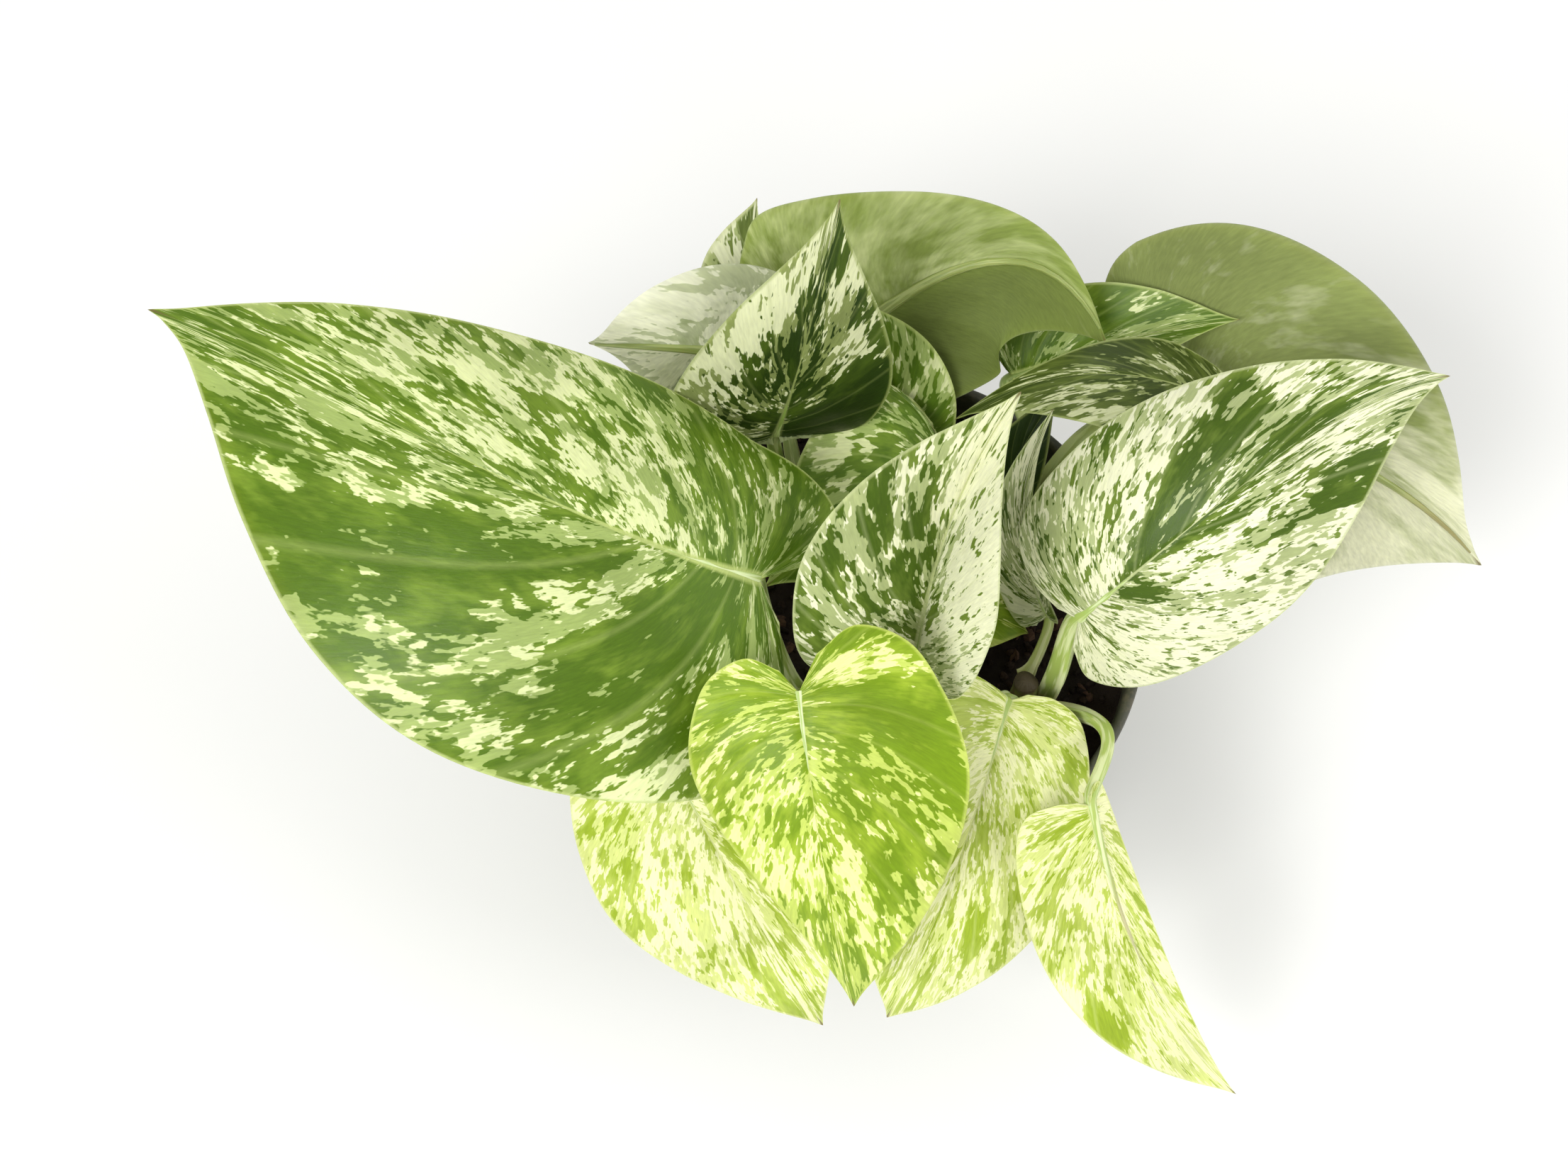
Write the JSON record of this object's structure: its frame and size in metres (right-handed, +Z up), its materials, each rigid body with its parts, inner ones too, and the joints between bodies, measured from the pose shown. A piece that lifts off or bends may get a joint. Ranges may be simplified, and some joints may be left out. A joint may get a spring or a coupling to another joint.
{
  "type": "potted pothos plant",
  "caption": "Marble queen pothos in a round tapered nursery pot: heart-shaped leaves marbled green and cream stand over dark soil and droop past the rim.",
  "frame": {"origin": "centre of the pot's flat underside, where it rests", "axes": "+Z up along the pot's axis, +X to the right and -Y towards the viewer of the picture"},
  "size_m": [0.254, 0.153, 0.149],
  "materials": {
    "pot_plastic": "satin",
    "potting_soil": "matte",
    "vine_skin": "satin",
    "leaf_left_large_tissue": "satin",
    "leaf_right_tissue": "satin",
    "leaf_centre_upright_tissue": "satin",
    "leaf_front_heart_tissue": "satin",
    "leaf_front_left_tissue": "satin",
    "leaf_front_right_tissue": "satin",
    "leaf_front_right_low_tissue": "satin",
    "leaf_back_upright_tissue": "satin",
    "leaf_back_left_tissue": "satin",
    "leaf_back_large_tissue": "satin",
    "leaf_back_right_large_tissue": "satin",
    "leaf_back_narrow_tissue": "satin",
    "leaf_back_right_small_tissue": "satin",
    "leaf_inner_left_tissue": "satin",
    "leaf_back_small_tissue": "satin",
    "leaf_unfurling_tissue": "satin",
    "leaf_inner_low_tissue": "satin",
    "leaf_inner_dark_tissue": "satin",
    "leaf_back_left_far_tissue": "satin"
  },
  "bodies": {
    "root": {"pot": "pot_plastic", "soil": "potting_soil", "stem_front_left": "vine_skin", "stem_front_right": "vine_skin", "stem_centre": "vine_skin", "stem_back_left": "vine_skin", "stem_back_centre": "vine_skin", "stem_back_right": "vine_skin", "leaf_left_large": "leaf_left_large_tissue", "leaf_right": "leaf_right_tissue", "leaf_centre_upright": "leaf_centre_upright_tissue", "leaf_front_heart": "leaf_front_heart_tissue", "leaf_front_left": "leaf_front_left_tissue", "leaf_front_right": "leaf_front_right_tissue", "leaf_front_right_low": "leaf_front_right_low_tissue", "leaf_back_upright": "leaf_back_upright_tissue", "leaf_back_left": "leaf_back_left_tissue", "leaf_back_large": "leaf_back_large_tissue", "leaf_back_right_large": "leaf_back_right_large_tissue", "leaf_back_narrow": "leaf_back_narrow_tissue", "leaf_back_right_small": "leaf_back_right_small_tissue", "leaf_inner_left": "leaf_inner_left_tissue", "leaf_back_small": "leaf_back_small_tissue", "leaf_unfurling": "leaf_unfurling_tissue", "leaf_inner_low": "leaf_inner_low_tissue", "leaf_inner_dark": "leaf_inner_dark_tissue", "leaf_back_left_far": "leaf_back_left_far_tissue"}
  },
  "joints": []
}
